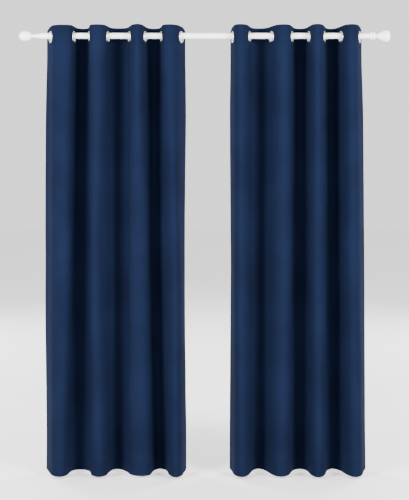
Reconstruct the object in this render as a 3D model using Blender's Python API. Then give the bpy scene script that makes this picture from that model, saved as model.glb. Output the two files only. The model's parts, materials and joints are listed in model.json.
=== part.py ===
"""Eyelet curtains on a telescopic rod: two cloth panels, each hung from eight eyelets, and a rod in two brackets.

Metres, +Z up. The origin is the centre of the left wall plate's back face: +X runs along the rod to the right
as seen from the room, and +Y goes into the wall, so the room is at -Y. A panel is one cloth that folds as it is
drawn. Here it is eight sections, one for each eyelet. Two neighbours meet at the crest of the fold between them,
where a vertical hinge stands for the cloth's bend. A section and its eyelet turn together about that hinge.
"""

import math

import bmesh
import bpy
from mathutils import Matrix, Vector

MM = 0.001
GAP = 0.3 * MM  # between two pieces that rest on each other

# Panels: the cloth as cut, the eyelets' places along the rod, and how each one stands across it.
PANEL_WIDTH = 1321 * MM
PANEL_LENGTH = 2134 * MM
SIDE_MARGIN = 76 * MM  # outermost eyelet to the cloth's edge
CLOTH_THICKNESS = 1.6 * MM  # heading cloth with its stiffener
HEADING = 51 * MM  # eyelet's centre to the top edge
PANEL_GAP = 248.5 * MM  # between the two panels' leading eyelets
# Spacing of neighbouring eyelets along the rod, and the angle of each eyelet's cloth to it, outer edge first.
LEFT_PITCHES = [pitch * MM for pitch in (110, 74, 88.5, 103, 74, 79, 93)]
LEFT_ANGLES = [math.radians(angle) for angle in (66, 80, 80, 78, 72, 78, 80, 70)]
RIGHT_PITCHES = [pitch * MM for pitch in (88.5, 79, 74, 81, 98, 105, 79)]
RIGHT_ANGLES = [math.radians(angle) for angle in (71, 74, 74, 80, 73, 67, 74, 82)]
FOLD_STEPS = 5  # straight pieces in half a fold's curve
CREST_GAP = 0.48 * MM  # section's end to its hinge

# Eyelets: a front ring whose barrel goes through the cloth, and a back ring that snaps onto the barrel.
EYELET_THROAT = 20 * MM
EYELET_RADIUS = 28 * MM
BARREL_WALL = 1.8 * MM
BARREL_REACH = 3.8 * MM  # behind the cloth's middle
BARREL_FLARE = 1.3 * MM  # how far the throat widens at the barrel's end
BARREL_FLARE_LENGTH = 1.8 * MM
HANG_GAP = 0.6 * MM  # throat to the wide tube
FRONT_CROWN = 3.5 * MM
BACK_CROWN = 2.5 * MM
CROWN_EDGE = 0.8 * MM  # thickness at the ring's outer edge
SNAP_CLEARANCE = 0.4 * MM
EYELET_SEGMENTS = 16
FLAT_MARGIN = 2 * MM  # cloth kept flat beyond the ring

# Rod: a wide tube, and a slim one that slides in its right end.
ROD_PROJECTION = 95 * MM  # wall to the rod's axis
OUTER_TUBE_RADIUS = 14 * MM
OUTER_TUBE_WALL = 1.1 * MM
TELESCOPE_CLEARANCE = 0.4 * MM
INNER_TUBE_WALL = 1 * MM
TUBE_OVERLAP = 400 * MM  # length of slim tube inside the wide one
LEFT_OVERHANG = 52.5 * MM  # outermost eyelet to the finial
RIGHT_OVERHANG = 48.5 * MM
TUBE_SEGMENTS = 32

# Brackets: a wall plate, an arm that ends in an open cradle, and a clamp screw under the cradle.
LEFT_BRACKET_INSET = 38 * MM  # outermost eyelet to the bracket
RIGHT_BRACKET_INSET = 30 * MM
TUBE_STEP_SETBACK = 11 * MM  # right bracket to the wide tube's end
PLATE_WIDTH = 34 * MM
PLATE_HEIGHT = 76 * MM
PLATE_THICKNESS = 4 * MM
PLATE_CORNER = 8 * MM
PLATE_SCREW_SPACING = 52 * MM
PLATE_SCREW_RADIUS = 2.6 * MM
PLATE_SINK_RADIUS = 5 * MM
PLATE_SINK_DEPTH = 2.5 * MM
BOSS_RADIUS = 9.5 * MM
BOSS_LENGTH = 9 * MM
SOCKET_FLOOR = 3 * MM
ARM_RADIUS = 5 * MM
CRADLE_WIDTH = 12 * MM
CRADLE_WALL = 3 * MM
CRADLE_FRONT_LIP = 5 * MM  # above the rod's axis
CRADLE_REAR_LIP = 11 * MM
CLAMP_BOSS_RADIUS = 5.2 * MM
CLAMP_BOSS_LENGTH = 5 * MM
CLAMP_SCREW_RADIUS = 2.4 * MM
CLAMP_HEAD_RADIUS = 6.5 * MM
CLAMP_HEAD_LENGTH = 7 * MM
CLAMP_HEAD_DROP = 7 * MM  # clamp boss to the screw's head
ROUND_SEGMENTS = 16

# Finials: a bulb on a trumpet neck at the left, and a bell on a ringed collar at the right.
FINIAL_SEGMENTS = 24
STUD_RADIUS = 3.2 * MM
STUD_LENGTH = 16 * MM
PLUG_LENGTH = 24 * MM
PLUG_FLANGE = 2.5 * MM
TRUMPET_LENGTH = 38.5 * MM
TRUMPET_RADIUS = 13.6 * MM
BULB_NECK_RADIUS = 7.2 * MM
BULB_RADIUS = 23.6 * MM
BULB_LENGTH = 64 * MM
COLLAR_LENGTH = 26 * MM
COLLAR_RADIUS = 18 * MM
COLLAR_GROOVE_RADIUS = 14.6 * MM
COLLAR_GROOVE_WIDTH = 6 * MM
COLLAR_GRIP = 19 * MM  # length of tube held in the collar
BELL_NECK_RADIUS = 6 * MM
BELL_NECK_LENGTH = 4.5 * MM
BELL_RADIUS = 28 * MM
BELL_LENGTH = 50 * MM
BELL_FULLNESS = 0.5  # 0 gives the bell straight sides, and 1 the fullest ones
BELL_DOME = 18.5 * MM
BELL_STEPS = 8

EYELET_SPACING = (PANEL_WIDTH - 2 * SIDE_MARGIN) / len(LEFT_PITCHES)
FLAT_RUN = EYELET_RADIUS + FLAT_MARGIN
BARREL_RADIUS = EYELET_THROAT + BARREL_WALL
INNER_TUBE_RADIUS = OUTER_TUBE_RADIUS - OUTER_TUBE_WALL - TELESCOPE_CLEARANCE
ROD_Y = -ROD_PROJECTION
EYELET_Z = OUTER_TUBE_RADIUS + HANG_GAP - EYELET_THROAT  # the throat hangs on the wide tube
CLOTH_TOP = EYELET_Z + HEADING
LEFT_EYELET_X = -LEFT_BRACKET_INSET
RIGHT_EYELET_X = LEFT_EYELET_X + sum(LEFT_PITCHES) + PANEL_GAP + sum(RIGHT_PITCHES)
RIGHT_BRACKET_X = RIGHT_EYELET_X - RIGHT_BRACKET_INSET
LEFT_FINIAL_X = LEFT_EYELET_X - LEFT_OVERHANG
RIGHT_FINIAL_X = RIGHT_EYELET_X + RIGHT_OVERHANG
OUTER_TUBE_START = LEFT_FINIAL_X + 2 * GAP + PLUG_FLANGE
OUTER_TUBE_END = RIGHT_BRACKET_X + TUBE_STEP_SETBACK


def clear_scene():
    for obj in list(bpy.data.objects):
        bpy.data.objects.remove(obj)


def material(name, colour, roughness, metallic=0.0):
    made = bpy.data.materials.new(name)
    made.use_nodes = True
    shader = made.node_tree.nodes["Principled BSDF"]
    shader.inputs["Base Color"].default_value = (*colour, 1)
    shader.inputs["Roughness"].default_value = roughness
    shader.inputs["Metallic"].default_value = metallic
    return made


def attach(obj, parent):
    """Parents obj without moving it."""
    bpy.context.view_layer.update()
    obj.parent = parent
    obj.matrix_parent_inverse = parent.matrix_world.inverted()


def joint_empty(name, location, parent=None):
    made = bpy.data.objects.new(name, None)
    made.location = location
    bpy.context.scene.collection.objects.link(made)
    if parent:
        attach(made, parent)
    return made


def mesh_of(name, shape, surface):
    """Turns a bmesh into a mesh whose faces point out and whose round sides are shaded smooth."""
    bmesh.ops.recalc_face_normals(shape, faces=shape.faces)
    mesh = bpy.data.meshes.new(name)
    shape.to_mesh(mesh)
    shape.free()
    mesh.shade_smooth()
    mesh.set_sharp_from_angle(angle=math.radians(35))
    mesh.materials.append(surface)
    return mesh


def add_object(name, mesh, location, parent, turn=0.0):
    made = bpy.data.objects.new(name, mesh)
    made.location = location
    made.rotation_euler.z = turn
    bpy.context.scene.collection.objects.link(made)
    attach(made, parent)
    return made


def combine(obj, helper, operation):
    """Cuts helper from obj, or joins it to obj, and keeps it as a hidden guide."""
    helper.hide_render = True
    helper.display_type = "WIRE"
    boolean = obj.modifiers.new(helper.name, "BOOLEAN")
    boolean.operation = operation
    boolean.object = helper


def turned(profile, segments, axis):
    """Turns (distance along the axis, radius) points about an axis. The flats lie at the radii, not the corners."""
    along = Vector(axis)
    out = Vector((0, 0, 1)) if axis[2] == 0 else Vector((1, 0, 0))
    half_step = math.pi / segments
    shape = bmesh.new()
    points = [shape.verts.new(along * d + out * r / math.cos(half_step)) for d, r in profile]
    edges = [shape.edges.new(pair) for pair in zip(points, points[1:])]
    if profile[0][1] > 0:
        edges.append(shape.edges.new((points[-1], points[0])))
    spun = dict(axis=along, cent=(0, 0, 0), angle=2 * math.pi, steps=segments, use_merge=True)
    bmesh.ops.spin(shape, geom=points + edges, **spun)
    bmesh.ops.remove_doubles(shape, verts=shape.verts, dist=1e-6)
    bmesh.ops.rotate(shape, verts=shape.verts, cent=(0, 0, 0), matrix=Matrix.Rotation(half_step, 3, along))
    return shape


def arc(centre, radii, start, end, steps):
    """Points of an elliptical arc, at angles from start to end in degrees."""
    turns = [math.radians(start + (end - start) * i / steps) for i in range(steps + 1)]
    return [(centre[0] + radii[0] * math.cos(a), centre[1] + radii[1] * math.sin(a)) for a in turns]


def bar(start, end, radius, axis, segments=ROUND_SEGMENTS):
    return turned([(start, 0), (start, radius), (end, radius), (end, 0)], segments, axis)


def tube(radius, wall, length):
    profile = [(0, radius - wall), (0, radius), (length, radius), (length, radius - wall)]
    return turned(profile, TUBE_SEGMENTS, (1, 0, 0))


def bezier(points, t):
    first, second, third, fourth = points
    s = 1 - t
    return first * s**3 + second * 3 * t * s**2 + third * 3 * t**2 * s + fourth * t**3


def solve(low, high, too_low):
    """The value between low and high where too_low stops being true, by bisection."""
    for _ in range(40):
        middle = (low + high) / 2
        if too_low(middle):
            low = middle
        else:
            high = middle
    return low


def half_folds(pitch, first_angle, second_angle):
    """The cloth's middle line over one fold towards +Y, in two halves, each from its eyelet to the crest.

    The first eyelet is at 0 and the second at pitch. The cloth leaves each eyelet straight, and a curve just
    long enough for the cloth between them joins the straight runs. The halves meet midway between the eyelets.
    """
    rise = Vector((math.cos(first_angle), math.sin(first_angle)))
    fall = Vector((-math.cos(second_angle), math.sin(second_angle)))
    start = rise * FLAT_RUN
    end = Vector((pitch, 0)) + fall * FLAT_RUN
    cloth = EYELET_SPACING - 2 * FLAT_RUN

    def curve(handle):
        return start, start + rise * handle, end + fall * handle, end

    def length(points):
        steps = [bezier(points, i / 40) for i in range(41)]
        return sum((b - a).length for a, b in zip(steps, steps[1:]))

    points = curve(solve(0, cloth, lambda handle: length(curve(handle)) < cloth))
    middle = solve(0, 1, lambda t: bezier(points, t).x < pitch / 2)
    crest = bezier(points, middle)
    first = [bezier(points, middle * i / FOLD_STEPS) for i in range(FOLD_STEPS)]
    second = [bezier(points, 1 - (1 - middle) * i / FOLD_STEPS) for i in range(FOLD_STEPS)]
    for half in (first, second):
        half.append(crest + (half[-1] - crest).normalized() * CREST_GAP)
    return first, second, crest


def section_sheet(line):
    """An upright sheet over a middle line, from the top edge to the hem."""
    shape = bmesh.new()
    points = [shape.verts.new((x, y, CLOTH_TOP - PANEL_LENGTH)) for x, y in line]
    edges = [shape.edges.new(pair) for pair in zip(points, points[1:])]
    raised = bmesh.ops.extrude_edge_only(shape, edges=edges)["geom"]
    top = [item for item in raised if isinstance(item, bmesh.types.BMVert)]
    bmesh.ops.translate(shape, verts=top, vec=(0, 0, PANEL_LENGTH))
    return shape


def eyelet_front_shape():
    seat = CLOTH_THICKNESS / 2 + GAP
    crown_radii = ((EYELET_RADIUS - EYELET_THROAT) / 2, FRONT_CROWN - CROWN_EDGE)
    middle = (EYELET_RADIUS + EYELET_THROAT) / 2
    crown = [(seat + CROWN_EDGE + out, r) for r, out in arc((middle, 0), crown_radii, 180, 0, 4)]
    profile = [(-BARREL_REACH, EYELET_THROAT + BARREL_FLARE)]
    profile.append((BARREL_FLARE_LENGTH - BARREL_REACH, EYELET_THROAT))
    profile += crown
    profile += [(seat, EYELET_RADIUS), (seat, BARREL_RADIUS), (-BARREL_REACH, BARREL_RADIUS)]
    return turned(profile, EYELET_SEGMENTS, (0, 1, 0))


def eyelet_back_shape():
    seat = -CLOTH_THICKNESS / 2 - GAP
    inner = BARREL_RADIUS + SNAP_CLEARANCE
    crown_radii = ((EYELET_RADIUS - inner) / 2, BACK_CROWN - CROWN_EDGE)
    middle = (EYELET_RADIUS + inner) / 2
    crown = [(seat - CROWN_EDGE - out, r) for r, out in arc((middle, 0), crown_radii, 180, 0, 3)]
    return turned([(seat, inner)] + crown + [(seat, EYELET_RADIUS)], EYELET_SEGMENTS, (0, 1, 0))


def add_panel(name, side, outer_x, pitches, angles, rod, meshes, cloth):
    """One panel, from its outer edge to its leading one. side is 1 if that way is +X, and -1 if it is -X."""
    folds = [half_folds(*fold) for fold in zip(pitches, angles, angles[1:])]
    eyelet = 0
    hinge = joint_empty(f"{name}_hinge_1", (outer_x, ROD_Y, EYELET_Z), rod)
    for k, angle in enumerate(angles):
        front = 1 if k % 2 == 0 else -1  # the next fold's side of the rod, 1 towards the room
        number = k + 1
        # A section runs from the crest behind it, or the cloth's edge, through its eyelet to the crest ahead.
        margin = Vector((math.cos(angle), math.sin(angle))) * SIDE_MARGIN
        behind = [Vector((-margin.x, margin.y))]
        if k:
            behind = [p - Vector((pitches[k - 1], 0)) for p in folds[k - 1][1]]
        ahead = folds[k][0] if k < len(folds) else [margin]
        line = [(p.x, -front * p.y) for p in reversed(behind)] + [(p.x, front * p.y) for p in ahead]
        place = (outer_x + side * eyelet, ROD_Y, EYELET_Z)
        world_line = [(place[0] + side * u, ROD_Y - v) for u, v in line]
        sheet = mesh_of(f"{name}_section_{number}", section_sheet(world_line), cloth)
        section = add_object(f"{name}_section_{number}", sheet, (0, 0, 0), hinge)
        solidify = section.modifiers.new("thickness", "SOLIDIFY")
        solidify.thickness = CLOTH_THICKNESS
        solidify.offset = 0
        solidify.use_even_offset = True
        turn = math.atan2(side * front * math.sin(angle), -math.cos(angle))
        hole = add_object(f"{name}_hole_{number}", meshes["hole"], place, hinge, turn)
        combine(section, hole, "DIFFERENCE")
        add_object(f"{name}_eyelet_front_{number}", meshes["front"], place, hinge, turn)
        add_object(f"{name}_eyelet_back_{number}", meshes["back"], place, hinge, turn)
        if k < len(folds):
            crest = folds[k][2]
            crest_place = (place[0] + side * crest.x, ROD_Y - front * crest.y, EYELET_Z)
            hinge = joint_empty(f"{name}_hinge_{number + 1}", crest_place, hinge)
            eyelet += pitches[k]


def rounded_plate(width, height, thickness, corner):
    """An upright plate with its back on the wall."""
    shape = bmesh.new()
    bmesh.ops.create_cube(shape, size=1)
    bmesh.ops.scale(shape, verts=shape.verts, vec=(width, thickness, height))
    bmesh.ops.translate(shape, verts=shape.verts, vec=(0, -thickness / 2, 0))
    upright = [e for e in shape.edges if abs((e.verts[0].co - e.verts[1].co).y) > thickness / 2]
    bmesh.ops.bevel(shape, geom=upright, offset=corner, segments=4, profile=0.5, affect="EDGES", material=-1)
    return shape


def cradle_shape():
    """A U around the rod, open at the top, higher behind the rod than in front of it, with the rod's axis at 0."""
    inner = OUTER_TUBE_RADIUS + GAP
    outer = inner + CRADLE_WALL
    outline = [(-outer, CRADLE_FRONT_LIP)] + arc((0, 0), (outer, outer), 180, 360, 12) + [(outer, CRADLE_REAR_LIP)]
    outline += [(inner, CRADLE_REAR_LIP)] + arc((0, 0), (inner, inner), 360, 180, 12) + [(-inner, CRADLE_FRONT_LIP)]
    shape = bmesh.new()
    face = shape.faces.new([shape.verts.new((-CRADLE_WIDTH / 2, y, z)) for y, z in outline])
    moved = bmesh.ops.extrude_face_region(shape, geom=[face])["geom"]
    far = [item for item in moved if isinstance(item, bmesh.types.BMVert)]
    bmesh.ops.translate(shape, verts=far, vec=(CRADLE_WIDTH, 0, 0))
    return shape


def add_bracket(name, x, parent, steel, screw_steel):
    along_y = (0, 1, 0)
    up = (0, 0, 1)
    socket_end = -SOCKET_FLOOR
    boss_end = -PLATE_THICKNESS - BOSS_LENGTH

    def guide(label, shape, location):
        return add_object(f"{name}_{label}", mesh_of(label, shape, steel), location, parent)

    plate_shape = rounded_plate(PLATE_WIDTH, PLATE_HEIGHT, PLATE_THICKNESS, PLATE_CORNER)
    plate_mesh = mesh_of(f"{name}_wall_plate", plate_shape, steel)
    plate = add_object(f"{name}_wall_plate", plate_mesh, (x, 0, 0), parent)
    boss = bar(boss_end, -PLATE_THICKNESS / 2, BOSS_RADIUS, along_y)
    combine(plate, guide("boss", boss, (x, 0, 0)), "UNION")
    socket = bar(boss_end - MM, socket_end, ARM_RADIUS + GAP, along_y)
    combine(plate, guide("socket", socket, (x, 0, 0)), "DIFFERENCE")
    for side in (-1, 1):
        sink = [(MM, 0), (MM, PLATE_SCREW_RADIUS), (PLATE_SINK_DEPTH - PLATE_THICKNESS, PLATE_SCREW_RADIUS)]
        sink += [(-PLATE_THICKNESS, PLATE_SINK_RADIUS), (-PLATE_THICKNESS - MM, PLATE_SINK_RADIUS)]
        sink += [(-PLATE_THICKNESS - MM, 0)]
        hole = turned(sink, ROUND_SEGMENTS, along_y)
        place = (x, 0, side * PLATE_SCREW_SPACING / 2)
        combine(plate, guide(f"screw_hole_{side}", hole, place), "DIFFERENCE")

    cradle_bottom = -OUTER_TUBE_RADIUS - GAP - CRADLE_WALL
    boss_bottom = cradle_bottom - CLAMP_BOSS_LENGTH
    arm = add_object(f"{name}_arm", mesh_of(f"{name}_arm", cradle_shape(), steel), (x, ROD_Y, 0), parent)
    rear = ROD_Y + OUTER_TUBE_RADIUS + GAP + CRADLE_WALL / 2
    combine(arm, guide("arm_bar", bar(rear, socket_end - GAP, ARM_RADIUS, along_y), (x, 0, 0)), "UNION")
    clamp_boss = bar(boss_bottom, cradle_bottom + CRADLE_WALL / 2, CLAMP_BOSS_RADIUS, up)
    combine(arm, guide("clamp_boss", clamp_boss, (x, ROD_Y, 0)), "UNION")
    thread = bar(boss_bottom - MM, 0, CLAMP_SCREW_RADIUS + GAP, up)
    combine(arm, guide("thread", thread, (x, ROD_Y, 0)), "DIFFERENCE")

    head_top = boss_bottom - CLAMP_HEAD_DROP
    head_bottom = head_top - CLAMP_HEAD_LENGTH
    tip = -OUTER_TUBE_RADIUS - GAP
    screw = [(tip, 0), (tip, CLAMP_SCREW_RADIUS), (head_top, CLAMP_SCREW_RADIUS), (head_top, CLAMP_HEAD_RADIUS)]
    screw += [(head_bottom, CLAMP_HEAD_RADIUS), (head_bottom, 0)]
    travel = joint_empty(f"{name}_clamp_travel", (x, ROD_Y, 0), parent)
    screw_mesh = mesh_of(f"{name}_clamp_screw", turned(screw, ROUND_SEGMENTS, up), screw_steel)
    add_object(f"{name}_clamp_screw", screw_mesh, (x, ROD_Y, 0), travel)


def add_turned(name, profile, x, parent, surface):
    mesh = mesh_of(name, turned(profile, FINIAL_SEGMENTS, (1, 0, 0)), surface)
    return add_object(name, mesh, (x, ROD_Y, 0), parent)


def add_left_finial(rod, paint, plastic):
    pull = joint_empty("finial_left_pull", (LEFT_FINIAL_X, ROD_Y, 0), rod)
    neck_x = -TRUMPET_LENGTH
    profile = [(STUD_LENGTH, 0), (STUD_LENGTH, STUD_RADIUS), (0, STUD_RADIUS)]
    flare = (TRUMPET_LENGTH, TRUMPET_RADIUS - BULB_NECK_RADIUS)
    profile += arc((neck_x, TRUMPET_RADIUS), flare, 0, -90, 8)
    bulb_half = BULB_LENGTH / 2
    meet = math.degrees(math.asin(BULB_NECK_RADIUS / BULB_RADIUS))
    bulb_centre = neck_x - bulb_half * math.cos(math.radians(meet))
    profile += arc((bulb_centre, 0), (bulb_half, BULB_RADIUS), meet, 180, 12)[1:-1]
    profile += [(bulb_centre - bulb_half, 0)]
    add_turned("finial_left", profile, LEFT_FINIAL_X, pull, paint)

    bore = STUD_RADIUS + GAP
    body = OUTER_TUBE_RADIUS - OUTER_TUBE_WALL - GAP
    flange_end = GAP + PLUG_FLANGE
    plug = [(GAP, bore), (GAP, TRUMPET_RADIUS), (flange_end, TRUMPET_RADIUS), (flange_end, body)]
    plug += [(flange_end + PLUG_LENGTH, body), (flange_end + PLUG_LENGTH, bore)]
    add_turned("finial_left_plug", plug, LEFT_FINIAL_X, pull, plastic)


def add_right_finial(inner_tube, paint):
    pull = joint_empty("finial_right_pull", (RIGHT_FINIAL_X, ROD_Y, 0), inner_tube)
    bore = INNER_TUBE_RADIUS + GAP
    through = STUD_RADIUS + GAP
    bead = (COLLAR_LENGTH - COLLAR_GROOVE_WIDTH) / 4
    bead_height = COLLAR_RADIUS - COLLAR_GROOVE_RADIUS
    collar = [(COLLAR_GRIP, through), (COLLAR_GRIP, bore), (0, bore)]
    collar += arc((bead, COLLAR_GROOVE_RADIUS), (bead, bead_height), 180, 0, 6)
    collar += arc((COLLAR_LENGTH - bead, COLLAR_GROOVE_RADIUS), (bead, bead_height), 180, 0, 6)
    collar += [(COLLAR_LENGTH, through)]
    add_turned("finial_right_collar", collar, RIGHT_FINIAL_X, pull, paint)

    base = COLLAR_LENGTH + GAP
    neck_end = base + BELL_NECK_LENGTH
    bell_end = neck_end + BELL_LENGTH
    profile = [(base - STUD_LENGTH, 0), (base - STUD_LENGTH, STUD_RADIUS), (base, STUD_RADIUS)]
    profile += [(base, BELL_NECK_RADIUS)]
    for step in range(BELL_STEPS + 1):
        t = step / BELL_STEPS
        widening = t + BELL_FULLNESS * t * (1 - t)
        radius = BELL_NECK_RADIUS + (BELL_RADIUS - BELL_NECK_RADIUS) * widening
        profile.append((neck_end + BELL_LENGTH * t, radius))
    profile += arc((bell_end, 0), (BELL_DOME, BELL_RADIUS), 90, 0, 6)[1:-1]
    profile += [(bell_end + BELL_DOME, 0)]
    add_turned("finial_right", profile, RIGHT_FINIAL_X, pull, paint)


def build():
    clear_scene()
    cloth = material("navy_cloth", (0.010, 0.026, 0.070), 0.8)
    plating = material("eyelet_silver", (0.80, 0.80, 0.80), 0.25, 0.6)
    paint = material("white_paint", (0.86, 0.86, 0.84), 0.35)
    plastic = material("white_plastic", (0.78, 0.78, 0.76), 0.5)
    screw_steel = material("plated_steel", (0.60, 0.60, 0.61), 0.3, 1.0)

    brackets = joint_empty("brackets", (0, 0, 0))
    add_bracket("bracket_left", 0, brackets, paint, screw_steel)
    add_bracket("bracket_right", RIGHT_BRACKET_X, brackets, paint, screw_steel)

    rod = joint_empty("rod_lift", (OUTER_TUBE_START, ROD_Y, 0), brackets)
    outer_shape = tube(OUTER_TUBE_RADIUS, OUTER_TUBE_WALL, OUTER_TUBE_END - OUTER_TUBE_START)
    add_object("rod_outer_tube", mesh_of("rod_outer_tube", outer_shape, paint), rod.location, rod)
    inner_start = (OUTER_TUBE_END - TUBE_OVERLAP, ROD_Y, 0)
    inner_length = RIGHT_FINIAL_X + COLLAR_GRIP - GAP - inner_start[0]
    inner = joint_empty("rod_extension", inner_start, rod)
    inner_shape = tube(INNER_TUBE_RADIUS, INNER_TUBE_WALL, inner_length)
    add_object("rod_inner_tube", mesh_of("rod_inner_tube", inner_shape, paint), inner_start, inner)
    add_left_finial(rod, paint, plastic)
    add_right_finial(inner, paint)

    reach = EYELET_RADIUS / 2
    hole_shape = bar(-reach, reach, BARREL_RADIUS + GAP, (0, 1, 0), EYELET_SEGMENTS)
    meshes = {
        "hole": mesh_of("eyelet_hole", hole_shape, cloth),
        "front": mesh_of("eyelet_front", eyelet_front_shape(), plating),
        "back": mesh_of("eyelet_back", eyelet_back_shape(), plating),
    }
    add_panel("curtain_left", 1, LEFT_EYELET_X, LEFT_PITCHES, LEFT_ANGLES, rod, meshes, cloth)
    add_panel("curtain_right", -1, RIGHT_EYELET_X, RIGHT_PITCHES, RIGHT_ANGLES, rod, meshes, cloth)


build()
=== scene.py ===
import json
import math

import bmesh
import bpy
import numpy as np
from mathutils import Matrix, Vector, noise


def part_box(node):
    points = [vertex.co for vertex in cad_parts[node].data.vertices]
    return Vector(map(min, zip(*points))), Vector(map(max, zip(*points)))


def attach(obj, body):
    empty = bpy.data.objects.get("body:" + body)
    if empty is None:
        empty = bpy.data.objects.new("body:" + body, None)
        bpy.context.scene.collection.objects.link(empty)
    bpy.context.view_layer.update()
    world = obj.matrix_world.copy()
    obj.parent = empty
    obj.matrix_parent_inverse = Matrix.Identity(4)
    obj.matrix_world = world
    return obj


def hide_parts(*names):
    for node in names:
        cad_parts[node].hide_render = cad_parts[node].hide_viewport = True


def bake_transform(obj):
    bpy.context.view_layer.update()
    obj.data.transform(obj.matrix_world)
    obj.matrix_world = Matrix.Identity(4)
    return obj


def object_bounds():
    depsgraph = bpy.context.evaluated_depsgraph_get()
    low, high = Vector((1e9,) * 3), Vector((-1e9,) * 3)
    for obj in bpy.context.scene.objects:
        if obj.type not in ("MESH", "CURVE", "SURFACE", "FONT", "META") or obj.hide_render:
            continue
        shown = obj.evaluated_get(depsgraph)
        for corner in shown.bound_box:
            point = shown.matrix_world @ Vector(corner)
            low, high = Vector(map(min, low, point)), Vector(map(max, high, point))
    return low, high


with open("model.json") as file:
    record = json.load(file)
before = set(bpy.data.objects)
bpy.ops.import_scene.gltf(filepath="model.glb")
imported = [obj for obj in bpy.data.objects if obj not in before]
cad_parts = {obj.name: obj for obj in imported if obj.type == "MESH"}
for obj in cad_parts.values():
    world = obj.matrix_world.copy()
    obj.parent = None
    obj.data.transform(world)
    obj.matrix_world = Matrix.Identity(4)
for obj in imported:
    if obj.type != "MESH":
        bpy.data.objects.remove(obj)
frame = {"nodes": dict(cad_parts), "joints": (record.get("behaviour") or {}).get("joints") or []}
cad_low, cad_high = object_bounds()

# Wall brackets: two screwed plates, each with a bar that ends in an open cradle, and a clamp screw under it.
# Pressed and welded steel under white enamel, with bright zinc screws. The cradles hold the rod off the wall.


def linear(colour):
    """Turns an sRGB hex colour into the linear RGBA that Blender's sockets take."""
    channels = [int(colour[i : i + 2], 16) / 255 for i in (1, 3, 5)]
    return [c / 12.92 if c <= 0.04045 else ((c + 0.055) / 1.055) ** 2.4 for c in channels] + [1]


def add_node(material, kind, settings, inputs):
    """Adds a node. Settings are its own choices, and each input is a value or another node's output."""
    node = material.node_tree.nodes.new("ShaderNode" + kind)
    for name, value in settings.items():
        setattr(node, name, value)
    for name, value in inputs.items():
        if isinstance(value, bpy.types.NodeSocket):
            material.node_tree.links.new(value, node.inputs[name])
        else:
            node.inputs[name].default_value = value
    return node


def new_material(name, **sockets):
    """A material with a bare Principled shader, and that shader. Constants go straight on its sockets."""
    material = bpy.data.materials.new(name)
    material.use_nodes = True
    shader = material.node_tree.nodes["Principled BSDF"]
    for socket, value in sockets.items():
        shader.inputs[socket.replace("_", " ")].default_value = value
    return material, shader


def mm_scale(size):
    """The texture scale that makes one cycle of a pattern that many millimetres long."""
    return 1000 / size


# Enamel: sprayed and baked white paint, semi-gloss, with a faint orange-peel ripple and an uneven gloss.
enamel, shader = new_material("white_enamel", Coat_Weight=0.25, Coat_Roughness=0.12, Coat_IOR=1.5, IOR=1.5)
place = add_node(enamel, "TexCoord", {}, {}).outputs["Object"]
peel = add_node(enamel, "TexNoise", {}, {"Vector": place, "Scale": mm_scale(2.5), "Detail": 2.0})
handled = add_node(enamel, "TexNoise", {}, {"Vector": place, "Scale": mm_scale(60), "Detail": 3.0})
tone = add_node(enamel, "ValToRGB", {}, {"Fac": handled.outputs["Fac"]})
tone.color_ramp.elements[0].position = 0.3
tone.color_ramp.elements[0].color = linear("#E9E9E7")
tone.color_ramp.elements[1].position = 0.7
tone.color_ramp.elements[1].color = linear("#F3F3F1")
gloss = add_node(enamel, "MapRange", {}, {"Value": handled.outputs["Fac"], "To Min": 0.26, "To Max": 0.38})
ripple = add_node(enamel, "Bump", {}, {"Height": peel.outputs["Fac"], "Strength": 0.12, "Distance": 0.0002})
enamel.node_tree.links.new(tone.outputs["Color"], shader.inputs["Base Color"])
enamel.node_tree.links.new(gloss.outputs["Result"], shader.inputs["Roughness"])
enamel.node_tree.links.new(ripple.outputs["Normal"], shader.inputs["Normal"])

# Zinc plate: bright, faintly blue steel screws with a fine turned grain round the head.
zinc, shader = new_material("zinc_plated_steel", Metallic=1.0)
place = add_node(zinc, "TexCoord", {}, {}).outputs["Object"]
grain = add_node(zinc, "TexNoise", {}, {"Vector": place, "Scale": mm_scale(1.2), "Detail": 4.0})
tone = add_node(zinc, "ValToRGB", {}, {"Fac": grain.outputs["Fac"]})
tone.color_ramp.elements[0].color = linear("#A9ACB0")
tone.color_ramp.elements[1].color = linear("#C9CBCD")
wear = add_node(zinc, "MapRange", {}, {"Value": grain.outputs["Fac"], "To Min": 0.22, "To Max": 0.40})
zinc.node_tree.links.new(tone.outputs["Color"], shader.inputs["Base Color"])
zinc.node_tree.links.new(wear.outputs["Result"], shader.inputs["Roughness"])


def finished_piece(name, shape, finish, sharp=35):
    """Turns a bmesh into an object with smooth shading that breaks at sharp edges."""
    mesh = bpy.data.meshes.new(name)
    shape.to_mesh(mesh)
    shape.free()
    mesh.shade_smooth()
    mesh.set_sharp_from_angle(angle=math.radians(sharp))
    mesh.materials.append(finish)
    piece = bpy.data.objects.new(name, mesh)
    bpy.context.scene.collection.objects.link(piece)
    return piece


def softened(name, node, width, finish, body):
    """A copy of a CAD node with its sharp edges rounded over, as pressing and paint leave them."""
    crease = math.radians(40)
    shape = bmesh.new()
    shape.from_mesh(frame["nodes"][node].data)
    bmesh.ops.remove_doubles(shape, verts=shape.verts, dist=1e-6)
    bmesh.ops.dissolve_limit(shape, angle_limit=math.radians(1), verts=shape.verts, edges=shape.edges)
    sharp = [e for e in shape.edges if len(e.link_faces) == 2 and e.calc_face_angle(0) > crease]
    rounding = {"offset": width, "segments": 2, "profile": 0.5, "clamp_overlap": True}
    bmesh.ops.bevel(shape, geom=sharp, affect="EDGES", material=-1, **rounding)
    piece = finished_piece(name, shape, finish, sharp=30)
    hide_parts(node)
    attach(piece, body)


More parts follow.
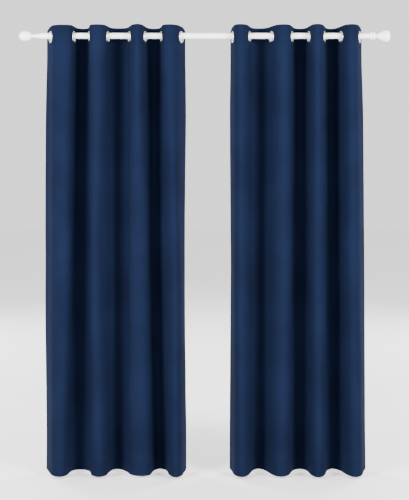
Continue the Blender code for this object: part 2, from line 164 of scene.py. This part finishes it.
plate_edge, arm_edge, screw_edge = 0.0006, 0.0004, 0.0005
for side in ("left", "right"):
    bracket, clamp = f"bracket_{side}", f"clamp_{side}"
    softened(f"{bracket}_plate", f"{bracket}_wall_plate", plate_edge, enamel, "brackets")
    softened(f"{bracket}_cradle_arm", f"{bracket}_arm", arm_edge, enamel, "brackets")
    softened(f"{bracket}_thumbscrew", f"{bracket}_clamp_screw", screw_edge, zinc, clamp)

# Rod: a wide tube, and a slim one that slides in its right end, so that the rod suits windows of any width.
# Seam-welded steel under the same white enamel, with its cut ends slightly rounded. It lies in the cradles.


def turned(name, node, profile, centre, axis, steps, finish, body):
    """Spins a (distance, radius) outline about an axis, and makes it a piece that stands for a CAD node."""
    along = Vector(axis)
    out = Vector((0, 0, 1))
    shape = bmesh.new()
    points = [shape.verts.new(Vector(centre) + along * d + out * r) for d, r in profile]
    edges = [shape.edges.new(pair) for pair in zip(points, points[1:])]
    if profile[0][1] > 0:
        edges.append(shape.edges.new((points[-1], points[0])))
    geom = points + edges
    bmesh.ops.spin(shape, geom=geom, cent=centre, axis=along, angle=math.tau, steps=steps, use_merge=True)
    bmesh.ops.remove_doubles(shape, verts=shape.verts, dist=1e-6)
    bmesh.ops.recalc_face_normals(shape, faces=shape.faces)
    piece = finished_piece(name, shape, finish)
    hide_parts(node)
    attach(piece, body)
    return piece


def arc(centre, radii, start, end, steps):
    """Points of an elliptical arc, at angles from start to end in degrees."""
    turns = [math.radians(start + (end - start) * i / steps) for i in range(steps + 1)]
    return [(centre[0] + radii[0] * math.cos(a), centre[1] + radii[1] * math.sin(a)) for a in turns]


def tube_outline(radius, wall, length, rounding):
    """Half of a tube's lengthwise cut, with rounded rims."""
    bore = radius - wall
    outline = [(rounding, bore), (0, bore + rounding), (0, radius - rounding)]
    outline += [(rounding * 0.3, radius - rounding * 0.3), (rounding, radius)]
    outline += [(length - rounding, radius), (length - rounding * 0.3, radius - rounding * 0.3)]
    outline += [(length, radius - rounding), (length, bore + rounding), (length - rounding, bore)]
    return outline


wide_low, wide_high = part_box("rod_outer_tube")
slim_low, slim_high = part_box("rod_inner_tube")
rod_y = (wide_low.y + wide_high.y) / 2
rod_z = (wide_low.z + wide_high.z) / 2
wide_radius = (wide_high.z - wide_low.z) / 2
slim_radius = (slim_high.z - slim_low.z) / 2
wide_wall, slim_wall, rim = 0.0011, 0.0010, 0.0003
wide_outline = tube_outline(wide_radius, wide_wall, wide_high.x - wide_low.x, rim)
slim_outline = tube_outline(slim_radius, slim_wall, slim_high.x - slim_low.x, rim)
wide_start = (wide_low.x, rod_y, rod_z)
slim_start = (slim_low.x, rod_y, rod_z)


def along_rod(name, node, profile, start, body, slot):
    """An enamelled piece turned about the rod's axis, from a start on it."""
    return turned(name, node, profile, start, (1, 0, 0), 72, enamel, body)


rod_wide = along_rod("rod_wide_tube", "rod_outer_tube", wide_outline, wide_start, "rod", "rod_paint")
along_rod("rod_slim_tube", "rod_inner_tube", slim_outline, slim_start, "rod_extension", "rod_paint")

# Left finial: a bulb on a trumpet neck, with a stud into a plug that is pushed into the wide tube.
# Cast resin under white enamel, and a moulded nylon plug. The trumpet's mouth meets the tube's end.
finial_low, finial_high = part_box("finial_left")
stud_length, stud_radius = 0.016, 0.0032
mouth_x = finial_high.x - stud_length
bulb_radius = (finial_high.z - finial_low.z) / 2
bulb_half = 0.064 / 2
neck_radius, mouth_radius, lip = 0.0072, 0.0136, 0.0004
bulb_centre = finial_low.x + bulb_half - mouth_x
meet = math.degrees(math.asin(neck_radius / bulb_radius))  # where the neck joins the bulb, round its outline
neck_x = bulb_centre + bulb_half * math.cos(math.radians(meet))
flare_centre = (neck_x + 0.0006, mouth_radius)
flare_radii = (-neck_x - 0.0026, mouth_radius - neck_radius)
outline = [(stud_length, 0), (stud_length, stud_radius), (0.0003, stud_radius)]
outline += [(0, mouth_radius - 2 * lip), (-lip, mouth_radius - lip / 2), (-3 * lip, mouth_radius)]
outline += arc(flare_centre, flare_radii, -4, -90, 24)
outline += arc((bulb_centre, 0), (bulb_half, bulb_radius), meet + 1, 180, 48)[:-1]
outline += [(finial_low.x - mouth_x, 0)]
mouth = (mouth_x, rod_y, rod_z)
along_rod("finial_left_bulb", "finial_left", outline, mouth, "finial_left", "finial_resin")

# Nylon: injection-moulded plug, off-white and dull, with a fine spark-eroded texture from its mould.
nylon, shader = new_material("moulded_nylon", IOR=1.53)
place = add_node(nylon, "TexCoord", {}, {}).outputs["Object"]
mould = add_node(nylon, "TexNoise", {}, {"Vector": place, "Scale": mm_scale(0.8), "Detail": 3.0})
tone = add_node(nylon, "ValToRGB", {}, {"Fac": mould.outputs["Fac"]})
tone.color_ramp.elements[0].color = linear("#DCDAD2")
tone.color_ramp.elements[1].color = linear("#E6E4DD")
dull = add_node(nylon, "MapRange", {}, {"Value": mould.outputs["Fac"], "To Min": 0.45, "To Max": 0.6})
texture = add_node(nylon, "Bump", {}, {"Height": mould.outputs["Fac"], "Strength": 0.2, "Distance": 0.0001})
nylon.node_tree.links.new(tone.outputs["Color"], shader.inputs["Base Color"])
nylon.node_tree.links.new(dull.outputs["Result"], shader.inputs["Roughness"])
nylon.node_tree.links.new(texture.outputs["Normal"], shader.inputs["Normal"])
frame["nodes"]["finial_left_plug"].material_slots[0].material = nylon

# Right finial: a collar with two beads that grips the slim tube, and a bell with a domed end screwed into it.
# Turned and cast resin under white enamel. A stud through the collar's floor holds the bell.
collar_low, collar_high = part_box("finial_right_collar")
bell_low, bell_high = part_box("finial_right")
collar_length = collar_high.x - collar_low.x
collar_radius = (collar_high.z - collar_low.z) / 2
groove_radius, groove_width, grip = 0.0146, 0.006, 0.019
bead = (collar_length - groove_width) / 4
bead_height = collar_radius - groove_radius
slack = 0.0003
outline = [(grip, stud_radius + slack), (grip, slim_radius + slack), (0, slim_radius + slack)]
outline += arc((bead, groove_radius), (bead, bead_height), 180, 0, 20)
outline += arc((collar_length - bead, groove_radius), (bead, bead_height), 180, 0, 20)
outline += [(collar_length, stud_radius + slack)]
collar_start = (collar_low.x, rod_y, rod_z)
rings = ("finial_right_rings", "finial_right_collar", outline, collar_start)
along_rod(*rings, "finial_right", "finial_resin")

bell_radius = (bell_high.z - bell_low.z) / 2
bell_dome, bell_neck, neck_end = 0.0185, 0.006, 0.0045
bell_base = bell_low.x + stud_length
bell_end = bell_high.x - bell_base
bell_flank = bell_end - bell_dome - neck_end
fullness, flank_steps, chamfer = 0.5, 25, 0.0005
outline = [(-stud_length, 0), (-stud_length, stud_radius), (0, stud_radius)]
outline += [(0, bell_neck - chamfer), (chamfer, bell_neck)]
for step in range(flank_steps):
    share = step / flank_steps
    widening = share + fullness * share * (1 - share)
    outline.append((neck_end + bell_flank * share, bell_neck + (bell_radius - bell_neck) * widening))
outline += arc((bell_end - bell_dome, 0), (bell_dome, bell_radius), 94, 0, 28)[:-1]
outline += [(bell_end, 0)]
bell_start = (bell_base, rod_y, rod_z)
along_rod("finial_right_bell", "finial_right", outline, bell_start, "finial_right", "finial_resin")

# Curtain panels: two lengths of blackout cloth, each hung in soft folds from eight eyelets in a stiff heading.
# Close-woven polyester satin, hemmed at the sides and foot. Each fold's cloth is one piece here, from one
# eyelet's line to the next, and the end pieces take in the side margins.
panel_width = 1.321
side_margin = 0.076
folds = 7
eyelet_spacing = (panel_width - 2 * side_margin) / folds
last_eyelet = folds * eyelet_spacing
heading_thickness, single_thickness, hem_share = 0.0016, 0.0007, 0.6
heading_depth, hem_depth, side_hem = 0.105, 0.090, 0.026
cloth_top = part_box("curtain_left_section_1")[1].z

# Satin: navy polyester blackout cloth, close and smooth, with a soft sheen where a fold turns to the light.
# Its threads lie 0.25 mm apart. They are drawn 1 mm apart, because finer ones don't show.
satin, shader = new_material("navy_blackout_satin", Sheen_Weight=0.006, Sheen_Roughness=0.4, IOR=1.46)
shader.inputs["Sheen Tint"].default_value = linear("#7F96C8")
shader.inputs["Specular IOR Level"].default_value = 0.04
lay = add_node(satin, "UVMap", {"uv_map": "cloth"}, {}).outputs["UV"]
stretched = add_node(satin, "Mapping", {}, {"Vector": lay, "Scale": (mm_scale(55), mm_scale(0.9), 1.0)})
along_weft = stretched.outputs["Vector"]
slub = add_node(satin, "TexNoise", {}, {"Vector": along_weft, "Scale": 1.0, "Detail": 3.0})
stretched = add_node(satin, "Mapping", {}, {"Vector": lay, "Scale": (mm_scale(0.9), mm_scale(70), 1.0)})
along_warp = stretched.outputs["Vector"]
streak = add_node(satin, "TexNoise", {}, {"Vector": along_warp, "Scale": 1.0, "Detail": 2.0})
thread_scale = mm_scale(1.0) * math.tau / 20  # a Wave texture repeats every tau / 20 of its scale
warp = add_node(satin, "TexWave", {"bands_direction": "X"}, {"Vector": lay, "Scale": thread_scale})
weft = add_node(satin, "TexWave", {"bands_direction": "Y"}, {"Vector": lay, "Scale": thread_scale})
weave = add_node(satin, "Math", {"operation": "MULTIPLY"}, {0: warp.outputs["Fac"], 1: weft.outputs["Fac"]})
threads = add_node(satin, "Math", {"operation": "ADD"}, {0: weave.outputs["Value"], 1: slub.outputs["Fac"]})
uneven = add_node(satin, "TexNoise", {}, {"Vector": lay, "Scale": mm_scale(260), "Detail": 3.0})
streaks = add_node(satin, "Math", {"operation": "ADD"}, {0: streak.outputs["Fac"], 1: slub.outputs["Fac"]})
mixed = {0: streaks.outputs["Value"], 1: 0.25, 2: uneven.outputs["Fac"]}
shades = add_node(satin, "Math", {"operation": "MULTIPLY_ADD"}, mixed)
tone = add_node(satin, "ValToRGB", {}, {"Fac": shades.outputs["Value"]})
tone.color_ramp.elements[0].position = 0.5
tone.color_ramp.elements[0].color = linear("#090F21")
tone.color_ramp.elements[1].position = 1.0
tone.color_ramp.elements[1].color = linear("#0D1529")
dull = add_node(satin, "MapRange", {}, {"Value": slub.outputs["Fac"], "To Min": 0.84, "To Max": 0.96})
raised = {"Height": threads.outputs["Value"], "Strength": 0.25, "Distance": 0.0003}
relief = add_node(satin, "Bump", {}, raised)

# Lockstitch rows hold the heading, the two side hems and the foot's hem: navy thread, in stitches 4 mm long.
# They are drawn 9 mm apart, 7 mm long and 1.6 mm wide, because real ones don't show, and sink into the cloth.
seam_axes = add_node(satin, "SeparateXYZ", {}, {"Vector": lay})
row_half, stitched_share = 0.0008, 0.78
stitches = None
for across_seam, along_seam, seam_place in (
    ("Y", "X", cloth_top - heading_depth),
    ("Y", "X", cad_low.z + hem_depth),
    ("X", "Y", side_hem - side_margin),
    ("X", "Y", last_eyelet + side_margin - side_hem),
):
    near = {0: seam_axes.outputs[across_seam], 1: seam_place, 2: row_half}
    row = add_node(satin, "Math", {"operation": "COMPARE"}, near)
    paced = {0: seam_axes.outputs[along_seam], 1: mm_scale(9)}
    pace = add_node(satin, "Math", {"operation": "MULTIPLY"}, paced)
    cycle = add_node(satin, "Math", {"operation": "FRACT"}, {0: pace.outputs["Value"]})
    sewn = add_node(satin, "Math", {"operation": "LESS_THAN"}, {0: cycle.outputs["Value"], 1: stitched_share})
    both = {0: row.outputs["Value"], 1: sewn.outputs["Value"]}
    seam = add_node(satin, "Math", {"operation": "MULTIPLY"}, both)
    if stitches:
        seam = add_node(satin, "Math", {"operation": "MAXIMUM"}, {0: stitches, 1: seam.outputs["Value"]})
    stitches = seam.outputs["Value"]
# The sockets 6, 7 and 2 are the two colours that go into the Mix node and the one that comes out.
sewn_tone = add_node(satin, "Mix", {"data_type": "RGBA"}, {"Factor": stitches, 7: linear("#121C35")})
satin.node_tree.links.new(tone.outputs["Color"], sewn_tone.inputs[6])
sinking = {"Height": stitches, "Strength": 0.5, "Distance": 0.0008, "Normal": relief.outputs["Normal"]}
sunk = add_node(satin, "Bump", {"invert": True}, sinking)
satin.node_tree.links.new(sewn_tone.outputs[2], shader.inputs["Base Color"])
satin.node_tree.links.new(dull.outputs["Result"], shader.inputs["Roughness"])
satin.node_tree.links.new(sunk.outputs["Normal"], shader.inputs["Normal"])


def fold_lines(pitch, first_angle, second_angle, flat, columns):
    """The cloth's middle line over one fold at each height, at equal steps of cloth, for arrays of sizes.

    The cloth leaves each eyelet's line straight for a run of flat, and a curve of the right length follows.
    """
    rise = np.stack([np.cos(first_angle), np.sin(first_angle)], 1)
    fall = np.stack([-np.cos(second_angle), np.sin(second_angle)], 1)
    far = np.stack([pitch, pitch * 0], 1)
    start = rise * flat[:, None]
    end = far + fall * flat[:, None]
    free = eyelet_spacing - 2 * flat
    halvings, curve_points = 30, 61
    t = np.linspace(0, 1, curve_points)[None, :, None]

    def curve(handle):
        """The cloth between the two straight runs, where the curve's handles are that long."""
        reach = handle[:, None]
        a, b, c, d = (p[:, None, :] for p in (start, start + rise * reach, end + fall * reach, end))
        return a * (1 - t) ** 3 + b * 3 * t * (1 - t) ** 2 + c * 3 * t**2 * (1 - t) + d * t**3

    low, high = free * 0, free * 1
    for _ in range(halvings):
        middle = (low + high) / 2
        short = np.linalg.norm(np.diff(curve(middle), axis=1), axis=2).sum(1) < free
        low = np.where(short, middle, low)
        high = np.where(short, high, middle)
    line = np.concatenate([far[:, None, :] * 0, curve(low), far[:, None, :]], axis=1)
    steps = np.linalg.norm(np.diff(line, axis=1), axis=2)
    lengths = np.concatenate([steps[:, :1] * 0, np.cumsum(steps, axis=1)], axis=1)
    even = np.empty((len(pitch), columns + 1, 2))
    for row in range(len(pitch)):
        wanted = np.linspace(0, lengths[row, -1], columns + 1)
        for axis in (0, 1):
            even[row, :, axis] = np.interp(wanted, lengths[row], line[row, :, axis])
    return even


def margin_lines(angle, curl, length, columns):
    """The free strip outside an end eyelet at each height: straight off the eyelet, then curling by curl."""
    share = (np.arange(columns) + 0.5) / columns
    turn_at = angle[:, None] - curl[:, None] * share[None, :] ** 1.5
    step = length / columns
    out = np.cumsum(np.cos(turn_at) * step, axis=1)
    back = np.cumsum(np.sin(turn_at) * step, axis=1)
    zero = out[:, :1] * 0
    return np.stack([np.concatenate([zero, out], 1), np.concatenate([zero, back], 1)], 2)


def down_the_drop(depth, values):
    """Eases a size from its value at the heading, through the one half way down, to the one at the foot."""
    top, middle, foot = values
    upper = np.clip(depth / 0.5, 0, 1)
    lower = np.clip((depth - 0.5) / 0.5, 0, 1)
    ease_upper = upper**2 * (3 - 2 * upper)
    ease_lower = lower**2 * (3 - 2 * lower)
    return top + (middle - top) * ease_upper + (foot - middle) * ease_lower


def cloth_piece(name, table, across, heights, eyelet_edges, eyelet_z):
    """A solid strip of cloth: a flat grid, holed at its eyelets, bent to a table of places, and thickened."""
    hole_radius, rim_reach = 0.0235, 1.35
    columns = len(across) - 1
    rows = len(heights) - 1
    shape = bmesh.new()
    layer = shape.loops.layers.uv.new("cloth")
    bmesh.ops.create_grid(shape, x_segments=columns, y_segments=rows, size=0.5)
    for vert in shape.verts:
        column = round((vert.co.x + 0.5) * columns)
        row = round((vert.co.y + 0.5) * rows)
        vert.co = (across[column], heights[row], 0)
    centres = [Vector((edge, eyelet_z, 0)) for edge in eyelet_edges]
    for centre in centres:
        inside = [f for f in shape.faces if (f.calc_center_median() - centre).length < hole_radius]
        bmesh.ops.delete(shape, geom=inside, context="FACES")
        for vert in shape.verts:
            away = vert.co - centre
            if vert.is_boundary and 0 < away.length < hole_radius * rim_reach:
                if across[0] < vert.co.x < across[-1] or abs(away.x) < 1e-6:
                    vert.co = centre + away.normalized() * hole_radius
    for face in shape.faces:
        for loop in face.loops:
            loop[layer].uv = (loop.vert.co.x, loop.vert.co.y)
    flat = np.array([vert.co for vert in shape.verts])
    column = np.interp(flat[:, 0], across, np.arange(columns + 1))
    row = np.interp(flat[:, 1], heights, np.arange(rows + 1))
    left = np.minimum(column.astype(int), columns - 1)
    low = np.minimum(row.astype(int), rows - 1)
    part, up = (column - left)[:, None], (row - low)[:, None]
    bent = (table[low, left] * (1 - part) + table[low, left + 1] * part) * (1 - up)
    bent += (table[low + 1, left] * (1 - part) + table[low + 1, left + 1] * part) * up
    doubled = []
    for vert, co, (s, z, _) in zip(shape.verts, bent, flat):
        vert.co = co
        in_heading = z > heights[-1] - heading_depth
        in_hem = z < heights[0] + hem_depth
        in_side = s < -side_margin + side_hem or s > last_eyelet + side_margin - side_hem
        doubled.append(1.0 if in_heading else hem_share if in_hem or in_side else 0.0)
    cloth = finished_piece(name, shape, satin)
    group = cloth.vertex_groups.new(name="doubled")
    for index, share in enumerate(doubled):
        group.add([index], share, "REPLACE")
    thicken = cloth.modifiers.new("thickness", "SOLIDIFY")
    thicken.thickness = heading_thickness
    thicken.offset = 0
    thicken.vertex_group = group.name
    thicken.thickness_vertex_group = single_thickness / heading_thickness
    graph = bpy.context.evaluated_depsgraph_get()
    solid = bpy.data.meshes.new_from_object(cloth.evaluated_get(graph))
    cloth.modifiers.clear()
    cloth.data = solid
    solid.name = name
    solid.shade_smooth()
    solid.set_sharp_from_angle(angle=math.radians(50))
    return cloth


def eyelet_places(name):
    """How far along the rod each eyelet of a panel is. A fold's hinge is half way between two eyelets."""
    joints = {joint["name"]: joint for joint in frame["joints"]}
    places = [joints[f"{name}_draw"]["pos_m"][0]]
    for k in range(1, folds + 1):
        places.append(2 * joints[f"{name}_fold_{k}"]["pos_m"][0] - places[-1])
    return places


def ring_height(name, k):
    """The height of the middle of an eyelet, which is numbered from the panel's outer edge."""
    low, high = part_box(f"curtain_{name}_eyelet_back_{k}")
    return (low.z + high.z) / 2


def hang_panel(name, side, angles, drift, outer_curl, leading_curl, seed):
    """One panel, from its outer edge to its leading one. side is 1 where that way is +X, and -1 for -X.

    angles are the cloth's angles to the rod at each eyelet's line, in degrees: at the heading, half way down
    and at the foot. drift is how far each line leans along the rod by the foot, in metres.
    """
    eyelet_z = ring_height(name, 1)
    # Heights where the close rows under the eyelets end, the folds begin to change, and the cloth to soften.
    stiff_end, fold_start, soft_start, soft_reach = -0.045, -0.05, -0.06, 0.35
    heading = np.linspace(cloth_top, stiff_end, 20)
    drop = np.linspace(stiff_end, cad_low.z, 172)[1:]
    heights = np.concatenate([heading, drop])[::-1]
    depth = np.clip((fold_start - heights) / (fold_start - cad_low.z), 0, 1)
    lean_start = eyelet_z - 0.04
    drop_length = lean_start - cad_low.z
    slope = np.clip((lean_start - heights) / drop_length, 0, 1)
    tops, middles, feet = ([math.radians(a) for a in row] for row in angles)
    line_x = [x + d * slope for x, d in zip(eyelet_places(name), drift)]
    line_angle = [down_the_drop(depth, values) for values in zip(tops, middles, feet)]
    # The straight run off an eyelet's line, which shortens over the first sixth of the drop.
    ring_flat = 0.030
    flat_run = down_the_drop(np.clip(depth * 6, 0, 1), (ring_flat, 0.020, 0.012))
    fold_columns, margin_columns = 42, 19
    # The cloth is stiff and flat in the heading, and curls and ripples a little below it.
    loose = np.clip((soft_start - heights) / soft_reach, 0, 1)
    loose = loose**2 * (3 - 2 * loose)
    outer_loose, leading_loose = 0.2, 0.15
    # Ripples run down the cloth: broad ones about 70 by 530 mm, and fine ones about 30 by 150 mm.
    broad_ripple, broad_across, broad_down = 0.0024, 14, 1.9
    fine_ripple, fine_across, fine_down = 0.0007, 34, 6.5
    corner_droop, droop_reach = 0.012, 0.25
    for k in range(folds):
        front = 1 if k % 2 == 0 else -1  # a fold comes forward, and the next one goes back
        pitch = side * (line_x[k + 1] - line_x[k])
        line = fold_lines(pitch, line_angle[k], line_angle[k + 1], flat_run, fold_columns)
        across = np.linspace(k, k + 1, fold_columns + 1) * eyelet_spacing
        u, v = line[:, :, 0], front * line[:, :, 1]
        if k == 0:
            curl = math.radians(outer_curl) + outer_loose * loose
            margin = margin_lines(line_angle[0], curl, side_margin, margin_columns)[:, :0:-1]
            u = np.concatenate([-margin[:, :, 0], u], 1)
            v = np.concatenate([-margin[:, :, 1], v], 1)
            across = np.concatenate([np.linspace(-side_margin, 0, margin_columns + 1)[:-1], across])
        if k == folds - 1:
            curl = math.radians(leading_curl) + leading_loose * loose
            margin = margin_lines(line_angle[folds], curl, side_margin, margin_columns)[:, 1:]
            u = np.concatenate([u, pitch[:, None] + margin[:, :, 0]], 1)
            v = np.concatenate([v, -margin[:, :, 1]], 1)
            beyond = np.linspace(0, side_margin, margin_columns + 1)[1:]
            across = np.concatenate([across, across[-1] + beyond])
        slope_u = np.gradient(u, axis=1)
        slope_v = np.gradient(v, axis=1)
        size = np.hypot(slope_u, slope_v)
        ripple = np.zeros_like(u)
        for row, z in enumerate(heights):
            for column, s in enumerate(across):
                broad = noise.noise(Vector((s * broad_across, z * broad_down, seed)))
                fine = noise.noise(Vector((s * fine_across, z * fine_down, seed + 7)))
                ripple[row, column] = (broad_ripple * broad + fine_ripple * fine) * loose[row]
        u = u - ripple * slope_v / size
        v = v + ripple * slope_u / size
        x = line_x[k][:, None] + side * u
        y = rod_y - v
        z = np.repeat(heights[:, None], len(across), axis=1)
        # The free top corners droop, because no eyelet holds them.
        beyond = np.clip(-across, 0, None) + np.clip(across - last_eyelet, 0, None)
        droop = corner_droop * np.clip(beyond / side_margin, 0, 1) ** 1.6
        held = np.clip((heights - (eyelet_z - droop_reach)) / droop_reach, 0, 1)
        z = z - droop[None, :] * held[:, None]
        table = np.stack([x, y, z], 2)
        edges = (across[0] if k else 0.0, across[-1] if k < folds - 1 else last_eyelet)
        piece = cloth_piece(f"curtain_{name}_cloth_{k + 1}", table, across, heights, edges, eyelet_z)
        nodes = [f"curtain_{name}_section_{k + 1}"]
        if k == folds - 1:
            nodes.append(f"curtain_{name}_section_{folds + 1}")
        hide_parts(*nodes)
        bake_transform(piece)


left_angles = (
    (66, 80, 80, 78, 72, 78, 80, 70),
    (66, 92, 85, 65, 88, 92, 68, 80),
    (72, 82, 77, 82, 66, 82, 78, 80),
)
right_angles = (
    (71, 74, 74, 80, 73, 67, 74, 82),
    (72, 76, 80, 86, 82, 68, 76, 86),
    (74, 72, 76, 80, 72, 70, 76, 82),
)
left_drift = [d / 1000 for d in (-5, -22, 5, 3, -6, 33, 32, 14)]
right_drift = [d / 1000 for d in (17, 13, 7, 2, -7, -10, 5, 1)]
hang_panel("left", 1, left_angles, left_drift, outer_curl=-3, leading_curl=-14, seed=3.1)
hang_panel("right", -1, right_angles, right_drift, outer_curl=-6, leading_curl=-2, seed=11.7)

# Eyelets: each a front ring whose barrel goes through the cloth, and a back ring pressed onto the barrel.
# Stamped steel with satin silver plating. They clamp the heading and slide along the rod.

# Plating: satin nickel, bright but not mirror-like, with fine stamping grain and a little handling haze.
plating, shader = new_material("satin_silver_plating", Metallic=1.0)
place = add_node(plating, "TexCoord", {}, {}).outputs["Object"]
haze = add_node(plating, "TexNoise", {}, {"Vector": place, "Scale": mm_scale(14), "Detail": 4.0})
grit = add_node(plating, "TexNoise", {}, {"Vector": place, "Scale": mm_scale(0.7), "Detail": 2.0})
tone = add_node(plating, "ValToRGB", {}, {"Fac": haze.outputs["Fac"]})
tone.color_ramp.elements[0].color = linear("#DADAD9")
tone.color_ramp.elements[1].color = linear("#ECECEB")
satin_gloss = add_node(plating, "MapRange", {}, {"Value": haze.outputs["Fac"], "To Min": 0.2, "To Max": 0.34})
stamped = add_node(plating, "Bump", {}, {"Height": grit.outputs["Fac"], "Strength": 0.08, "Distance": 0.0001})
plating.node_tree.links.new(tone.outputs["Color"], shader.inputs["Base Color"])
plating.node_tree.links.new(satin_gloss.outputs["Result"], shader.inputs["Roughness"])
plating.node_tree.links.new(stamped.outputs["Normal"], shader.inputs["Normal"])

# The rings' outlines run along the barrel's axis. The cloth's middle is at 0, and plus is towards its front.
throat, ring_radius = 0.020, 0.028
barrel_radius, barrel_reach, flare = throat + 0.0018, 0.0038, 0.0013
seat = heading_thickness / 2 + 0.0003
face_height, back_height, band = 0.0027, 0.0017, 0.0008
front_ring = [(-barrel_reach, throat + flare + 0.0002), (-barrel_reach + 0.0001, throat + flare)]
front_ring += [(-barrel_reach + 0.0009, throat + flare * 0.52)]
front_ring += [(-barrel_reach + 0.0018, throat + flare * 0.08), (-barrel_reach + 0.0022, throat)]
face_centre, face_half = (ring_radius + throat) / 2, (ring_radius - throat) / 2
front_ring += arc((seat + band, face_centre), (face_height, face_half), 270, 450, 18)
front_ring += [(seat + 0.0001, ring_radius), (seat, ring_radius - 0.0002)]
front_ring += [(seat, barrel_radius), (-barrel_reach, barrel_radius)]
inner = barrel_radius + 0.0004
back_centre, back_half = (ring_radius + inner) / 2, (ring_radius - inner) / 2
back_ring = [(-seat, inner)]
back_ring += arc((-seat - band, back_centre), (back_height, back_half), 270, 90, 14)
back_ring += [(-seat - 0.0001, ring_radius), (-seat, ring_radius - 0.0002)]

for name, side, angles in (("left", 1, left_angles[0]), ("right", -1, right_angles[0])):
    for k, (ring_x, angle) in enumerate(zip(eyelet_places(name), angles)):
        centre = (ring_x, rod_y, ring_height(name, k + 1))
        front = 1 if k % 2 == 0 else -1
        lean = math.radians(angle)
        spun = math.atan2(side * front * math.sin(lean), -math.cos(lean))
        across_cloth = Matrix.Rotation(spun, 3, "Z") @ Vector((0, 1, 0))
        body = f"{name}_section_{k + 1}"
        for part, outline in (("front", front_ring), ("back", back_ring)):
            node = f"curtain_{name}_eyelet_{part}_{k + 1}"
            label = f"curtain_{name}_{part}_ring_{k + 1}"
            turned(label, node, outline, centre, across_cloth, 64, plating, body)

# Floor: a plain pale studio floor, which is not part of the curtains.
# They hang just clear of it, as a made-up length does.
floor_half, clearance = 30, 0.014
floor_shape = bmesh.new()
bmesh.ops.create_grid(floor_shape, x_segments=1, y_segments=1, size=floor_half)
bmesh.ops.translate(floor_shape, verts=floor_shape.verts, vec=(0, 0, cad_low.z - clearance))

# Painted board: matt and nearly white, with faint clouds about two thirds of a metre across.
pale, shader = new_material("pale_painted_board", Roughness=0.6)
place = add_node(pale, "TexCoord", {}, {}).outputs["Object"]
cloudy = add_node(pale, "TexNoise", {}, {"Vector": place, "Scale": 1.5, "Detail": 2.0})
tone = add_node(pale, "ValToRGB", {}, {"Fac": cloudy.outputs["Fac"]})
tone.color_ramp.elements[0].color = linear("#F8F8F7")
tone.color_ramp.elements[1].color = linear("#FBFBFA")
pale.node_tree.links.new(tone.outputs["Color"], shader.inputs["Base Color"])
floor = finished_piece("studio_floor", floor_shape, pale)

# Light: an even white surround, and two softboxes at the room's sides, which light the folds' fronts and
# leave the hollows between them dark. Two weaker ones behind light the backs.
world = bpy.data.worlds.new("studio")
bpy.context.scene.world = world
world.use_nodes = True
world.node_tree.nodes["Background"].inputs["Color"].default_value = (1, 1, 1, 1)
world.node_tree.nodes["Background"].inputs["Strength"].default_value = 1.5


def add_light(name, place, target, size, watts, glossy):
    """A square area light that points at target. Glossy says whether it shows in reflections."""
    light = bpy.data.lights.new(name, "AREA")
    light.size = size
    light.energy = watts
    lamp = bpy.data.objects.new(name, light)
    lamp.location = place
    lamp.visible_glossy = glossy
    lamp.rotation_euler = (Vector(target) - Vector(place)).to_track_quat("-Z", "Y").to_euler()
    bpy.context.scene.collection.objects.link(lamp)


middle = Vector(((cad_low.x + cad_high.x) / 2, rod_y, (cad_low.z + cad_high.z) / 2))
aside, away, lifted, box_size = 4.2, 4.3, 1.6, 1.6
for name, across, into_wall, watts, glossy in (
    ("left_softbox", -aside, -away, 880, True),
    ("right_softbox", aside, -away, 880, True),
    ("rear_left_softbox", -aside, away, 420, False),
    ("rear_right_softbox", aside, away, 420, False),
):
    add_light(name, middle + Vector((across, into_wall, lifted)), middle, box_size, watts, glossy)

# Camera: level, in front of the middle of the rod and some way down the panels.
# It has a long lens and a small vertical shift, so that the folds stand upright in the frame.
camera_data = bpy.data.cameras.new("camera")
camera_data.lens = 67.8
camera_data.shift_y = -0.118
camera = bpy.data.objects.new("camera", camera_data)
camera.location = (0.696, -4.595, -0.741)
camera.rotation_euler = (math.radians(90), 0, 0)
bpy.context.scene.collection.objects.link(camera)
bpy.context.scene.camera = camera
